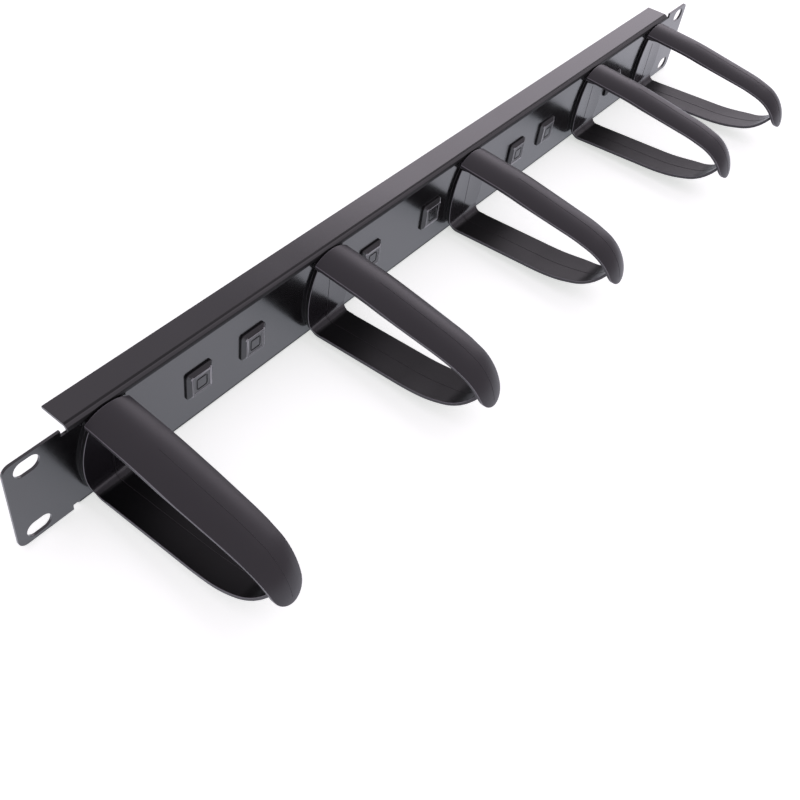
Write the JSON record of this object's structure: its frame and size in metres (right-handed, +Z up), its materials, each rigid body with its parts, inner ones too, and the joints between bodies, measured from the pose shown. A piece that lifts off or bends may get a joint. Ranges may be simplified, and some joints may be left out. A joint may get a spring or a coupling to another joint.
{
  "type": "horizontal cable manager",
  "caption": "Folded rack panel with slotted ears, open D-shaped cable rings snapped into square holes, and plugs in the free holes.",
  "frame": {"origin": "middle of the four rack slots, on the rear face of the panel, which seats on the rack's rails", "axes": "+X along the panel, +Y backwards into the rack, +Z up; the rings reach out towards -Y"},
  "size_m": [0.4826, 0.099, 0.042],
  "materials": {
    "panel_coat": "fine satin black powder coat on folded sheet steel",
    "ring_plastic": "black moulded nylon, fine eroded texture",
    "plug_plastic": "black moulded nylon, smooth"
  },
  "bodies": {
    "root": {"panel": "panel_coat", "cable_ring_1": "ring_plastic", "cable_ring_2": "ring_plastic", "cable_ring_3": "ring_plastic", "cable_ring_4": "ring_plastic", "cable_ring_5": "ring_plastic", "hole_plug_1": "plug_plastic", "hole_plug_2": "plug_plastic", "hole_plug_3": "plug_plastic", "hole_plug_4": "plug_plastic", "hole_plug_5": "plug_plastic", "hole_plug_6": "plug_plastic", "hole_plug_7": "plug_plastic"}
  },
  "joints": []
}
